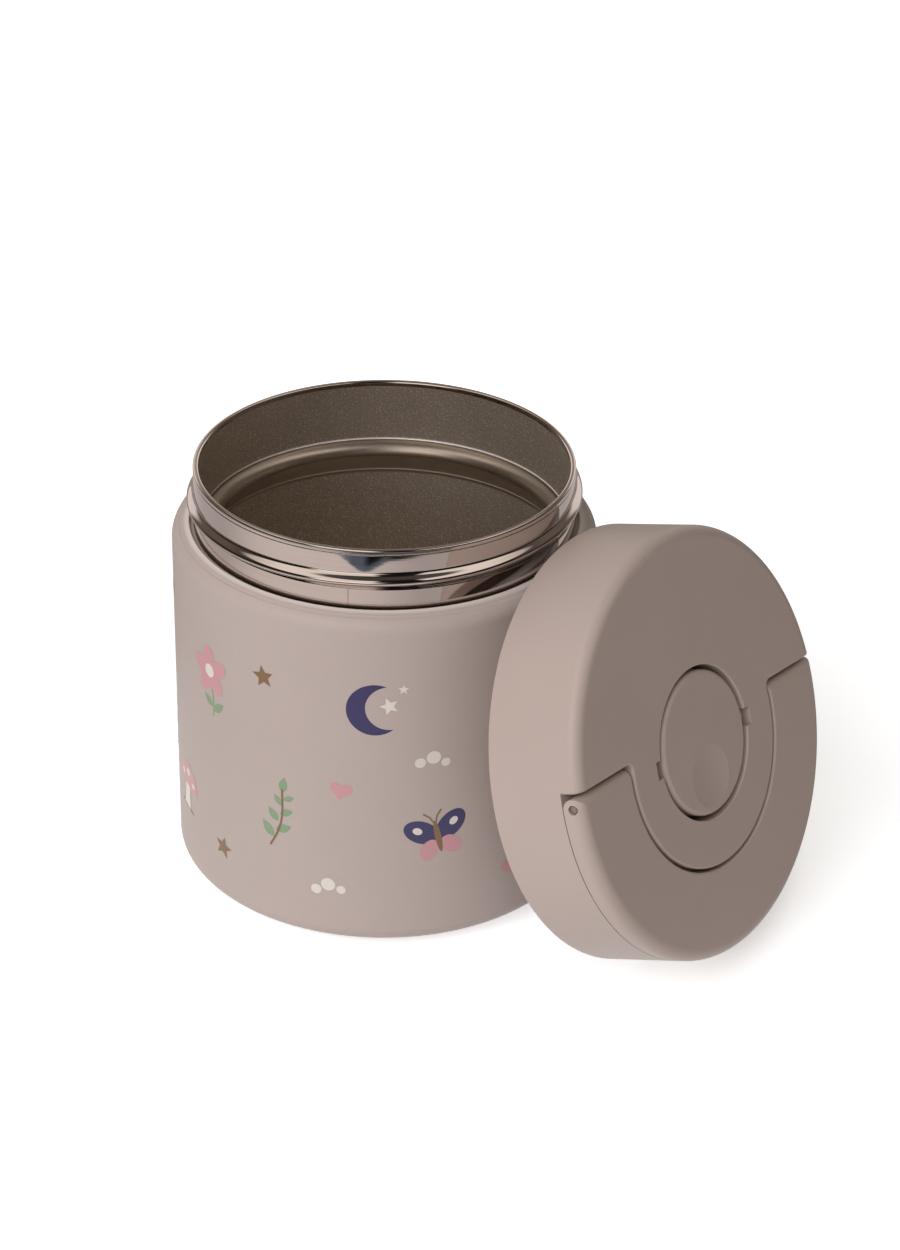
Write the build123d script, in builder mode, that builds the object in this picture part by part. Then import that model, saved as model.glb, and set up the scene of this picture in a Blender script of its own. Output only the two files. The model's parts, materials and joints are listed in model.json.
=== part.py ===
from build123d import *
from math import cos, radians, sin, sqrt
import os

# Insulated food jar, open, with its lid taken off and leaning against the shoulder.
# Millimetres, +Z up. The origin lies on the floor at the centre of the jar's base.
# The lid stands on the rim of its skirt, and its axis lies in the XZ plane.

# ---------------------------------------------------------------- fits
close_fit = 0.1  # between parts that are pressed, welded or glued together
rest_gap = 0.25  # between faces that rest near each other
pin_fit = 0.05  # radial play of a pin or stem in its bore

# ---------------------------------------------------------------- jar, outer shell
body_radius = 50.0
rim_height = 103.97
shell_wall = 0.7
shoulder_inset = 5.2
shoulder_drop = 4.3
mouth_groove_width = 0.95  # open groove between the painted mouth and the collar
mouth_groove_depth = 0.9
mouth_edge_round = 0.3
ring_place = 0.55  # pressed ring on the shoulder, as a share of the shoulder's arc
ring_round = 0.8
ring_depth = 0.12
foot_inset = 11.4
foot_rise = 6.1
foot_flat = 1.0  # width of the ring that the jar stands on
foot_lip_round = 1.7
foot_lip_height = 3.0

# ---------------------------------------------------------------- jar, neck
neck_rise = 14.17  # from the top of the shoulder to the rim
vessel_wall = 0.6
collar_wall = 0.7
collar_sink = 0.2  # how far the collar's lower band reaches into the groove
collar_band_step = 0.3
collar_band_height = 4.6
collar_tail = 3.4
lip_height = 1.25
lip_round = 0.55

# ---------------------------------------------------------------- jar, inner vessel
ledge_depth = 15.6  # from the rim down to the seat of the gasket
ledge_flat = 0.85  # level part of the seat, beside the wall
bead_depth = 3.05
bead_face = 1.0  # upright part below the roll of the seat's edge
bead_fall = 4.9
bead_round = 1.5
vessel_floor = 11.0
vessel_corner = 8.0

# ---------------------------------------------------------------- jar, base and vacuum space
base_cover_wall = 0.6
base_cover_height = 1.1
base_cover_dish = 8.0
shell_bottom_rim = 1.2
seal_radius = 5.0
seal_depth = 1.1
shield_wall = 0.2
shield_bottom = 20.0
shield_gap = 7.5  # under the shoulder's curve
getter_radius = 6.0
getter_height = 2.8

# ---------------------------------------------------------------- lid, cover
lid_overhang = 0.63
lid_height = 23.75
lid_taper = 0.77
lid_top_round = 2.8
lid_edge_round = 0.5
skirt_gap = 2.9  # from the neck to the skirt's bore, room for the thread
ceiling_depth = 6.75  # from the top of the lid
cover_top_wall = 2.2
step_offset = 5.25  # step of the handle, from the lid's axis
step_corner = 1.8
island_ring = 9.0  # from the axle's notch to the edge of the island
island_edge_round = 0.6
cover_wall = 2.2

# ---------------------------------------------------------------- lid, well of the button
well_radius = 17.93
well_depth = 9.75
well_floor_wall = 1.6
well_wall = 2.4
well_edge_round = 0.4
notch_depth = 1.97
notch_width = 4.3
axle_depth = 4.25

# ---------------------------------------------------------------- lid, handle
handle_thickness = 4.8
handle_gap = 0.8  # between the island and the handle's inner arc
hinge_offset = 1.8  # hinge line, from the lid's axis
handle_edge_round = 0.6
handle_pocket_wall = 2.0
handle_pocket_roof = 1.7
handle_rib = 1.2
handle_rib_count = 7
handle_rib_span = 132.0
handle_pocket_start = 3.0
pin_radius = 1.05
pin_grip = 4.6
pin_recess = 0.4

# ---------------------------------------------------------------- lid, liner, foam and gasket
liner_gap = 1.7  # from the mouth's wall
liner_wall = 1.8
liner_flange = 2.0
liner_protrusion = 0.6
liner_floor_wall = 1.6
liner_rim = 6.6  # from the dish to the liner's outside
liner_dish_height = 2.4
liner_dish_slope = 1.2
gasket_gap = 0.3
gasket_protrusion = 1.1
gasket_groove_depth = 1.4
gasket_groove_low = 0.3
gasket_groove_high = 1.5
gasket_lip_inset = 0.6
gasket_round = 0.5

# ---------------------------------------------------------------- lid, vent
vent_offset = 8.2  # from the lid's axis towards the handle
vent_tube_bore = 4.4
vent_tube_wall = 1.6
vent_hole_radius = 3.2
vent_slot_radius = 0.6
vent_slot_circle = 3.6
vent_slot_count = 4
valve_radius = 4.6
valve_thickness = 1.4
stem_radius = 1.25
stem_barb_radius = 1.9
stem_barb_height = 0.6
stem_head_radius = 3.4
stem_head_height = 0.8
stem_head_depth = 5.85
spring_radius = 2.35
spring_wire = 0.22
spring_turns = 4

# ---------------------------------------------------------------- lid, button
button_gap = 1.13
button_plate = 2.6
button_wall = 1.5
button_depth = 4.55
button_edge_round = 1.1
button_rib = 1.2
button_rib_depth = 1.4
button_cheek = 2.6
button_cheek_inset = 0.4
button_cheek_radius = 2.6
axle_fit = 0.1
axle_end_gap = 0.2
thumb_offset = 8.0
thumb_depth = 0.7
thumb_sphere = 40.0
button_foot_radius = 1.6
stop_offset = 9.0
stop_boss_radius = 2.2
stop_boss_height = 4.3

# ---------------------------------------------------------------- where the lid leans
lid_lean = 18.33  # tilt of the lid's axis above the floor, degrees
lid_roll = 5.55  # turn of the lid about its axis, degrees
lid_side_shift = 4.76

# Sizes that follow from the ones above
shoulder_height = rim_height - neck_rise
shoulder_base = shoulder_height - shoulder_drop
shell_mouth = body_radius - shoulder_inset
collar_radius = shell_mouth - close_fit
collar_bore = collar_radius - collar_wall
mouth_radius = collar_bore - close_fit - vessel_wall
foot_radius_out = body_radius - foot_inset
foot_round_radius = foot_radius_out - foot_flat
foot_radius_in = foot_round_radius - foot_lip_round
collar_top = rim_height - lip_height - close_fit
ledge_height = rim_height - ledge_depth
bead_roll = bead_depth - ledge_flat
bead_rise = bead_roll + bead_face
foot_lip_inside = foot_radius_in + shell_wall
shell_inside = body_radius - shell_wall
shell_bottom_level = foot_lip_height
shield_length = shoulder_base - shield_gap - shield_bottom

lid_radius = body_radius + lid_overhang
skirt_bore = collar_radius + skirt_gap
cover_ceiling = lid_height - ceiling_depth
shelf_height = lid_height - handle_thickness - rest_gap
well_floor = lid_height - well_depth
notch_reach = well_radius + notch_depth
island_radius = notch_reach + island_ring
axle_height = lid_height - axle_depth
hinge_height = lid_height - handle_thickness / 2
liner_radius = mouth_radius - liner_gap
liner_dish_radius = liner_radius - liner_rim
gasket_radius = mouth_radius - gasket_gap
stem_head_level = lid_height - stem_head_depth
button_skirt_level = lid_height - button_depth

# The lid stands on the floor. Its gasket leans on the shoulder, or on a taller jar's side
lean = radians(lid_lean)
lid_z = (lid_radius - lid_edge_round) * cos(lean) + lid_edge_round * (1 - sin(lean))
gasket_top = lid_z + gasket_radius * cos(lean) - gasket_protrusion * sin(lean)
shoulder_reach = sqrt((shoulder_inset * cos(lean)) ** 2 + (shoulder_drop * sin(lean)) ** 2)
shoulder_plane = shell_mouth * cos(lean) + shoulder_base * sin(lean) + shoulder_reach
side_plane = body_radius * cos(lean) + gasket_top * sin(lean)
edge_plane = min(shoulder_plane, side_plane) + gasket_protrusion + rest_gap
lid_x = (edge_plane - lid_z * sin(lean)) / cos(lean)

roll = radians(lid_roll)
lid_base = Plane(
    origin=(lid_x, lid_side_shift, lid_z),
    x_dir=(sin(roll) * sin(lean), cos(roll), -sin(roll) * cos(lean)),
    z_dir=(cos(lean), 0, sin(lean)),
)
# Section of the lid through its axis: x is the radius, y the height above the skirt's rim
lid_section = Plane(origin=lid_base.origin, x_dir=lid_base.x_dir, z_dir=-lid_base.y_dir)
# Side view of the lid along the hinge line: x is the distance from the axis, y the height
lid_side = Plane(origin=lid_base.origin, x_dir=lid_base.y_dir, z_dir=lid_base.x_dir)
lid_axis = Axis(lid_base.origin, lid_base.z_dir)

os.makedirs("parts", exist_ok=True)


def save(piece, label):
    piece.part.label = label
    export_step(piece.part, f"parts/{label}.step")


# ================================================================ jar
# Outer shell: one drawn sheet, from the turned-in lip of the foot to the shoulder's mouth
with BuildPart() as outer_shell:
    with BuildSketch(Plane.XZ) as shell_face:
        with BuildLine():
            Line((foot_radius_in, foot_lip_height), (foot_radius_in, foot_lip_round))
            RadiusArc((foot_radius_in, foot_lip_round), (foot_round_radius, 0), -foot_lip_round)
            Line((foot_round_radius, 0), (foot_radius_out, 0))
            EllipticalCenterArc(
                (foot_radius_out, foot_rise), foot_inset, foot_rise, start_angle=-90
            )
            Line((body_radius, foot_rise), (body_radius, shoulder_base))
            shoulder_arc = EllipticalCenterArc(
                (shell_mouth, shoulder_base), shoulder_inset, shoulder_drop
            )
            Line((shell_mouth, shoulder_height), (shell_mouth, shoulder_height - shell_wall))
            EllipticalCenterArc(
                (shell_mouth, shoulder_base), shoulder_inset - shell_wall, shoulder_drop - shell_wall
            )
            Line((shell_inside, shoulder_base), (shell_inside, foot_rise))
            EllipticalCenterArc(
                (foot_radius_out, foot_rise),
                foot_inset - shell_wall,
                foot_rise - shell_wall,
                start_angle=-90,
            )
            Line((foot_radius_out, shell_wall), (foot_round_radius, shell_wall))
            RadiusArc(
                (foot_lip_inside, foot_lip_round),
                (foot_round_radius, shell_wall),
                shell_wall - foot_lip_round,
            )
            Line((foot_lip_inside, foot_lip_round), (foot_lip_inside, foot_lip_height))
            Line((foot_lip_inside, foot_lip_height), (foot_radius_in, foot_lip_height))
        make_face()
        # Seat of the collar: the sheet's edge turned down and in, below an open groove
        seat_level = shoulder_height - mouth_groove_depth
        with Locations((shell_mouth, seat_level - shell_wall)):
            Rectangle(
                mouth_groove_width + shell_wall,
                shell_wall + mouth_groove_depth / 2,
                align=(Align.MIN, Align.MIN),
            )
        with Locations((shell_mouth, shoulder_height)):
            Rectangle(
                mouth_groove_width,
                2 * mouth_groove_depth,
                align=(Align.MIN, Align.CENTER),
                mode=Mode.SUBTRACT,
            )
        groove_corner = (shell_mouth + mouth_groove_width, shoulder_height)
        mouth_edge = shell_face.vertices().sort_by_distance(groove_corner)[0]
        fillet(mouth_edge, mouth_edge_round)
        # Ring pressed into the shoulder round the mouth
        ring_run = shoulder_arc % ring_place
        ring_out = Vector(ring_run.Y, -ring_run.X)
        ring_centre = shoulder_arc @ ring_place + ring_out * (ring_round - ring_depth)
        with Locations(ring_centre):
            Circle(ring_round, mode=Mode.SUBTRACT)
        ring_edges = shell_face.vertices().sort_by_distance(ring_centre)[:2]
        fillet(ring_edges, ring_round / 2)
    revolve(axis=Axis.Z)
save(outer_shell, "outer_shell")

# Shell bottom: closes the vacuum space on top of the foot's lip, with a cup for the seal
seal_ceiling = shell_bottom_level + seal_depth
with BuildPart() as shell_bottom:
    with BuildSketch(Plane.XZ):
        with BuildLine():
            Polyline(
                (0, seal_ceiling),
                (seal_radius, seal_ceiling),
                (seal_radius, shell_bottom_level),
                (foot_radius_in + shell_bottom_rim, shell_bottom_level),
                (foot_radius_in + shell_bottom_rim, shell_bottom_level + shell_wall),
                (seal_radius + shell_wall, shell_bottom_level + shell_wall),
                (seal_radius + shell_wall, seal_ceiling + shell_wall),
                (0, seal_ceiling + shell_wall),
                close=True,
            )
        make_face()
    revolve(axis=Axis.Z)
save(shell_bottom, "shell_bottom")

# Vacuum seal: the plug of solder in the cup
with BuildPart() as vacuum_seal:
    with BuildSketch(Plane.XY.offset(shell_bottom_level + close_fit)):
        Circle(seal_radius - close_fit)
    extrude(amount=seal_depth - 2 * close_fit)
save(vacuum_seal, "vacuum_seal")

# Base cover: pressed disc inside the foot, with a raised edge and a shallow dish
base_cover_radius = foot_radius_in - close_fit
with BuildPart() as base_cover:
    with BuildSketch(Plane.XZ):
        with BuildLine() as base_cover_line:
            FilletPolyline(
                (0, base_cover_height + base_cover_wall),
                (base_cover_radius - base_cover_dish, base_cover_height + base_cover_wall),
                (base_cover_radius - base_cover_dish + base_cover_wall, base_cover_height),
                (base_cover_radius, base_cover_height),
                (base_cover_radius, shell_bottom_level - close_fit),
                radius=base_cover_wall,
            )
            offset(amount=base_cover_wall, side=Side.LEFT)
        make_face()
    revolve(axis=Axis.Z)
save(base_cover, "base_cover")

# Inner vessel: a cup with its rim rolled over the collar and a bead rolled in under the ledge
vessel_bore_line = [
    (0, vessel_floor),
    (mouth_radius, vessel_floor),
    (mouth_radius, ledge_height - bead_rise - bead_fall),
    (mouth_radius - bead_depth, ledge_height - bead_rise),
    (mouth_radius - bead_depth, ledge_height),
    (mouth_radius, ledge_height),
    (mouth_radius, rim_height - lip_height / 2),
]
vessel_bends = [vessel_corner, vessel_wall, bead_round, bead_roll, vessel_wall / 2]
with BuildPart() as inner_vessel:
    with BuildSketch(Plane.XZ):
        with BuildLine():
            FilletPolyline(*vessel_bore_line, radius=vessel_bends)
            offset(amount=vessel_wall, side=Side.RIGHT)
        make_face()
        with BuildSketch(Plane.XY, mode=Mode.PRIVATE) as lip:
            with Locations(((mouth_radius + collar_radius) / 2, rim_height - lip_height / 2)):
                Rectangle(collar_radius - mouth_radius, lip_height)
            fillet(lip.vertices().group_by(Axis.Y)[-1], lip_round)
        add(lip.sketch)
    revolve(axis=Axis.Z)
save(inner_vessel, "inner_vessel")

# Neck collar: polished ring under the rolled rim. Its tail is pressed into the shell's seat,
# and its lower band ends in the groove round the mouth
band_bottom = shoulder_height - collar_sink
with BuildPart() as neck_collar:
    with BuildSketch(Plane.XZ):
        with BuildLine():
            Polyline(
                (collar_bore, shoulder_height - collar_tail),
                (collar_radius, shoulder_height - collar_tail),
                (collar_radius, band_bottom),
                (collar_radius + collar_band_step, band_bottom),
                (collar_radius + collar_band_step, band_bottom + collar_band_height),
                (collar_radius, band_bottom + collar_band_height + collar_band_step),
                (collar_radius, collar_top),
                (collar_bore, collar_top),
                close=True,
            )
        make_face()
    revolve(axis=Axis.Z)
save(neck_collar, "neck_collar")

# Heat shield: foil wrapped round the vessel in the vacuum space
shield_radius = mouth_radius + vessel_wall + close_fit
with BuildPart() as heat_shield:
    with BuildSketch(Plane.XY.offset(shield_bottom)):
        Circle(shield_radius + shield_wall)
        Circle(shield_radius, mode=Mode.SUBTRACT)
    extrude(amount=shield_length)
save(heat_shield, "heat_shield")

# Getter: capsule under the vessel
with BuildPart() as getter:
    with BuildSketch(Plane.XY.offset(vessel_floor - vessel_wall - close_fit - getter_height)):
        Circle(getter_radius)
    extrude(amount=getter_height)
    fillet(getter.edges().group_by(Axis.Z)[0], getter_height / 4)
save(getter, "getter")

# ================================================================ lid
# Envelope of the closed lid: cover and handle both take their outside from it
with BuildPart() as lid_envelope:
    with BuildSketch(lid_section):
        with BuildLine():
            Polyline(
                (0, 0),
                (lid_radius, 0),
                (lid_radius - lid_taper, lid_height),
                (0, lid_height),
                close=True,
            )
        make_face()
    revolve(axis=lid_axis)
    rim_circle = lid_envelope.edges().filter_by(GeomType.CIRCLE).sort_by(lid_axis)
    fillet(rim_circle[-1], lid_top_round)
    rim_circle = lid_envelope.edges().filter_by(GeomType.CIRCLE).sort_by(lid_axis)
    fillet(rim_circle[0], lid_edge_round)

# Cover: skirt, shelf for the handle behind a straight step, island with the button's well
just_below_top, just_above_top = lid_height - close_fit, lid_height + close_fit
with BuildPart() as lid_cover:
    add(lid_envelope.part)
    with BuildSketch(lid_base):
        Circle(skirt_bore)
    extrude(amount=cover_ceiling, mode=Mode.SUBTRACT)
    with BuildSketch(lid_base.offset(cover_ceiling)) as attic:
        Circle(skirt_bore)
        Circle(island_radius, mode=Mode.SUBTRACT)
        with Locations((0, step_offset + cover_wall - lid_radius)):
            Rectangle(2 * lid_radius, 2 * lid_radius, mode=Mode.SUBTRACT)
        fillet(attic.vertices(), step_corner)
    extrude(amount=lid_height - cover_top_wall - cover_ceiling, mode=Mode.SUBTRACT)
    with BuildSketch(lid_base.offset(shelf_height)) as shelf:
        Circle(2 * lid_radius)
        Circle(island_radius, mode=Mode.SUBTRACT)
        with Locations((0, step_offset + 2 * lid_radius)):
            Rectangle(4 * lid_radius, 4 * lid_radius, mode=Mode.SUBTRACT)
        inner_corners = shelf.vertices().sort_by_distance((0, 0, 0))[:2]
        fillet(inner_corners, step_corner)
    extrude(amount=lid_height, mode=Mode.SUBTRACT)
    with BuildSketch(lid_base.offset(well_floor - well_floor_wall)):
        Circle(well_radius + well_wall)
    extrude(amount=cover_ceiling - well_floor + well_floor_wall)
    with BuildSketch(lid_base.offset(well_floor)):
        Circle(well_radius)
    extrude(amount=lid_height, mode=Mode.SUBTRACT)
    with BuildSketch(lid_side):
        with Locations((0, axle_height)):
            Circle(notch_width / 2)
        with Locations((0, axle_height + lid_height / 2)):
            Rectangle(notch_width, lid_height)
    extrude(amount=notch_reach, both=True, mode=Mode.SUBTRACT)
    with BuildSketch(lid_base.offset(well_floor)):
        with Locations((0, stop_offset)):
            Circle(stop_boss_radius)
    extrude(amount=stop_boss_height)
    with BuildSketch(lid_base.offset(well_floor - well_floor_wall)):
        with Locations((0, -vent_offset)):
            Circle(stem_radius + pin_fit)
            with PolarLocations(vent_slot_circle, vent_slot_count):
                Circle(vent_slot_radius)
    extrude(amount=well_floor_wall, mode=Mode.SUBTRACT)
    for side in (1, -1):
        with BuildSketch(lid_side.offset(side * (island_radius - pin_grip))):
            with Locations((hinge_offset, hinge_height)):
                Circle(pin_radius)
        extrude(amount=side * 2 * pin_grip, mode=Mode.SUBTRACT)
    top_edges = lid_cover.edges().filter_by_position(lid_axis, just_below_top, just_above_top)
    top_arcs = top_edges.filter_by(GeomType.CIRCLE)
    island_arcs = [edge for edge in top_arcs if abs(edge.radius - island_radius) < close_fit]
    well_arcs = [edge for edge in top_arcs if abs(edge.radius - well_radius) < close_fit]
    fillet(island_arcs, island_edge_round)
    fillet(well_arcs, well_edge_round)
save(lid_cover, "lid_cover")

# Handle: crescent round the island, with rounded ends that turn on the pins
handle_bore = island_radius + handle_gap
handle_bottom = shelf_height + rest_gap
handle_end_round = handle_thickness / 2
with BuildPart() as handle:
    add(lid_envelope.part)
    with BuildSketch(lid_side):
        with Locations((hinge_offset, hinge_height)):
            Circle(handle_end_round)
        with Locations((hinge_offset - lid_radius, hinge_height)):
            Rectangle(2 * lid_radius, handle_thickness)
    extrude(amount=lid_radius, both=True, mode=Mode.INTERSECT)
    with BuildSketch(lid_base):
        Circle(handle_bore)
    extrude(amount=2 * lid_height, mode=Mode.SUBTRACT)
    with BuildSketch(lid_side):
        with Locations((hinge_offset, hinge_height)):
            Circle(pin_radius + pin_fit)
    extrude(amount=lid_radius, both=True, mode=Mode.SUBTRACT)
    with BuildSketch(lid_base.offset(handle_bottom)) as pockets:
        Circle(lid_radius - lid_taper - handle_pocket_wall)
        Circle(handle_bore + handle_pocket_wall, mode=Mode.SUBTRACT)
        with Locations((0, lid_radius - handle_pocket_start)):
            Rectangle(2 * lid_radius, 2 * lid_radius, mode=Mode.SUBTRACT)
        with PolarLocations(
            handle_bore, handle_rib_count, -90 - handle_rib_span / 2, handle_rib_span, endpoint=True
        ):
            Rectangle(2 * lid_radius, handle_rib, mode=Mode.SUBTRACT)
    extrude(amount=lid_height - handle_pocket_roof - handle_bottom, mode=Mode.SUBTRACT)
    top_edges = handle.edges().filter_by_position(lid_axis, just_below_top, just_above_top)
    top_arcs = top_edges.filter_by(GeomType.CIRCLE)
    bore_arcs = [edge for edge in top_arcs if abs(edge.radius - handle_bore) < close_fit]
    fillet(bore_arcs, handle_edge_round)
save(handle, "handle")

# Pins: each turns the handle's end and is pressed into the island
pin_head = sqrt((lid_radius - lid_taper * hinge_height / lid_height) ** 2 - hinge_offset**2)
pin_foot = island_radius - pin_grip + close_fit
for side, pin_label in ((-1, "handle_pin_left"), (1, "handle_pin_right")):
    with BuildPart() as handle_pin:
        with BuildSketch(lid_side.offset(side * pin_foot)):
            with Locations((hinge_offset, hinge_height)):
                Circle(pin_radius)
        extrude(amount=side * (pin_head - pin_recess - pin_foot))
        chamfer(handle_pin.edges().filter_by(GeomType.CIRCLE), pin_radius / 5)
    save(handle_pin, pin_label)

# Liner: the plug that goes into the mouth, welded under the cover by its flange
flange_top = cover_ceiling - close_fit
liner_floor = liner_dish_height + liner_floor_wall
liner_bore = liner_radius - liner_wall
vent_point = (0, -vent_offset)
tube_radius = vent_tube_bore + vent_tube_wall
well_bottom = well_floor - well_floor_wall
with BuildPart() as lid_liner:
    with BuildSketch(lid_section):
        with BuildLine():
            Polyline(
                (0, liner_dish_height),
                (liner_dish_radius, liner_dish_height),
                (liner_dish_radius + liner_dish_slope, -liner_protrusion),
                (liner_radius - gasket_lip_inset, -liner_protrusion),
                (liner_radius - gasket_lip_inset, gasket_groove_low),
                (liner_radius - gasket_groove_depth, gasket_groove_low),
                (liner_radius - gasket_groove_depth, gasket_groove_high),
                (liner_radius, gasket_groove_high),
                (liner_radius, flange_top - liner_flange),
                (skirt_bore - close_fit, flange_top - liner_flange),
                (skirt_bore - close_fit, flange_top),
                (liner_bore, flange_top),
                (liner_bore, liner_floor),
                (0, liner_floor),
                close=True,
            )
        make_face()
    revolve(axis=lid_axis)
    with BuildSketch(lid_base.offset(liner_floor)):
        with Locations(vent_point):
            Circle(tube_radius)
    extrude(amount=well_bottom - close_fit - liner_floor)
    with BuildSketch(lid_base.offset(liner_floor)):
        with Locations(vent_point):
            Circle(vent_tube_bore)
    extrude(amount=well_bottom, mode=Mode.SUBTRACT)
    with BuildSketch(lid_base):
        with Locations(vent_point):
            Circle(vent_hole_radius)
    extrude(amount=well_bottom, mode=Mode.SUBTRACT)
save(lid_liner, "lid_liner")

# Insulation: foam that fills the liner round the well and the vent tube
foam_bottom = liner_floor + close_fit
foam_top = flange_top
with BuildPart() as lid_insulation:
    with BuildSketch(lid_base.offset(foam_bottom)):
        Circle(liner_bore - close_fit)
        with Locations(vent_point):
            Circle(tube_radius + close_fit, mode=Mode.SUBTRACT)
    extrude(amount=foam_top - foam_bottom)
    with BuildSketch(lid_base.offset(well_bottom - close_fit)):
        Circle(well_radius + well_wall + close_fit)
    extrude(amount=lid_height, mode=Mode.SUBTRACT)
save(lid_insulation, "lid_insulation")

# Gasket: silicone ring in the liner's groove, its lip stands out below the skirt's rim
groove_radius = liner_radius - gasket_groove_depth
with BuildPart() as lid_gasket:
    with BuildSketch(lid_section) as gasket_face:
        with BuildLine():
            Polyline(
                (groove_radius + close_fit, gasket_groove_low + close_fit),
                (liner_radius - gasket_lip_inset + close_fit, gasket_groove_low + close_fit),
                (liner_radius - gasket_lip_inset + close_fit, -gasket_protrusion),
                (gasket_radius, -gasket_protrusion),
                (gasket_radius, gasket_groove_high - close_fit),
                (groove_radius + close_fit, gasket_groove_high - close_fit),
                close=True,
            )
        make_face()
        fillet(gasket_face.vertices().group_by(Axis.X)[-1], gasket_round)
    revolve(axis=lid_axis)
save(lid_gasket, "lid_gasket")

# Vent stem: a pin with a flat head under the button and a barb that holds the valve disc
valve_top = liner_dish_height
valve_bottom = valve_top - valve_thickness
head_top = stem_head_level + stem_head_height
vent_foot = lid_base.from_local_coords((0, -vent_offset, 0))
vent_base = Plane(origin=vent_foot, x_dir=lid_base.x_dir, z_dir=lid_base.z_dir)
vent_section = Plane(origin=vent_base.origin, x_dir=lid_base.x_dir, z_dir=-lid_base.y_dir)
vent_axis = Axis(vent_base.origin, vent_base.z_dir)
with BuildPart() as vent_stem:
    with BuildSketch(vent_section):
        with BuildLine():
            Polyline(
                (0, valve_bottom - stem_barb_height - close_fit),
                (stem_radius, valve_bottom - stem_barb_height - close_fit),
                (stem_barb_radius, valve_bottom - close_fit),
                (stem_radius, valve_bottom - close_fit),
                (stem_radius, stem_head_level),
                (stem_head_radius, stem_head_level),
                (stem_head_radius, head_top),
                (0, head_top),
                close=True,
            )
        make_face()
    revolve(axis=vent_axis)
save(vent_stem, "vent_stem")

# Valve disc: silicone, pressed on the stem, seals the liner's vent hole from below
with BuildPart() as valve_disc:
    with BuildSketch(vent_base.offset(valve_bottom)):
        Circle(valve_radius)
        Circle(stem_radius, mode=Mode.SUBTRACT)
    extrude(amount=valve_thickness)
save(valve_disc, "valve_disc")

# Vent spring: stands on the well's floor and lifts the stem's head
spring_length = stem_head_level - well_floor - 2 * spring_wire - close_fit
with BuildPart() as vent_spring:
    with BuildLine() as coil:
        Helix(
            pitch=spring_length / spring_turns,
            height=spring_length,
            radius=spring_radius,
            center=vent_base.from_local_coords((0, 0, well_floor + spring_wire + close_fit / 2)),
            direction=vent_base.z_dir,
        )
    with BuildSketch(Plane(origin=coil.line @ 0, z_dir=coil.line % 0)):
        Circle(spring_wire)
    sweep(path=coil.line)
save(vent_spring, "vent_spring")

# Button: round rocker on two stub axles, with a thumb hollow over the vent stem
button_radius = well_radius - button_gap
button_underside = lid_height - button_plate
axle_radius = notch_width / 2 - axle_fit
foot_level = head_top + rest_gap
stop_level = well_floor + stop_boss_height + close_fit
with BuildPart() as vent_button:
    with BuildSketch(lid_base.offset(button_skirt_level)):
        Circle(button_radius)
    extrude(amount=lid_height - button_skirt_level)
    button_rims = vent_button.edges().filter_by(GeomType.CIRCLE).sort_by(lid_axis)
    fillet(button_rims[-1], button_edge_round)
    with BuildSketch(lid_base.offset(button_skirt_level)):
        Circle(button_radius - button_wall)
    extrude(amount=button_underside - button_skirt_level, mode=Mode.SUBTRACT)
    thumb_centre = (0, -thumb_offset, lid_height - thumb_depth + thumb_sphere)
    with Locations(lid_base.from_local_coords(thumb_centre)):
        Sphere(thumb_sphere, mode=Mode.SUBTRACT)
    with BuildSketch(lid_base.offset(button_underside - button_rib_depth)):
        Rectangle(2 * (button_radius - button_wall), button_rib)
        Rectangle(button_rib, 2 * (button_radius - button_wall))
    extrude(amount=button_rib_depth)
    for side in (1, -1):
        with BuildSketch(lid_side.offset(side * (button_radius - button_cheek_inset - button_cheek))):
            with Locations((0, axle_height)):
                Circle(button_cheek_radius)
            with Locations((0, (axle_height + button_underside) / 2)):
                Rectangle(2 * button_cheek_radius, button_underside - axle_height)
        extrude(amount=side * button_cheek)
        with BuildSketch(lid_side.offset(side * (button_radius - button_wall))):
            with Locations((0, axle_height)):
                Circle(axle_radius)
        extrude(amount=side * (notch_reach - axle_end_gap - button_radius + button_wall))
    for reach, foot_bottom in ((-vent_offset, foot_level), (stop_offset, stop_level)):
        with BuildSketch(lid_base.offset(foot_bottom)):
            with Locations((0, reach)):
                Circle(button_foot_radius)
        extrude(amount=button_underside - foot_bottom)
save(vent_button, "vent_button")
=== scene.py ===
import json
from math import acos, ceil, cos, pi, radians, sin, tan

import bmesh
import bpy
from mathutils import Matrix, Vector

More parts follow.
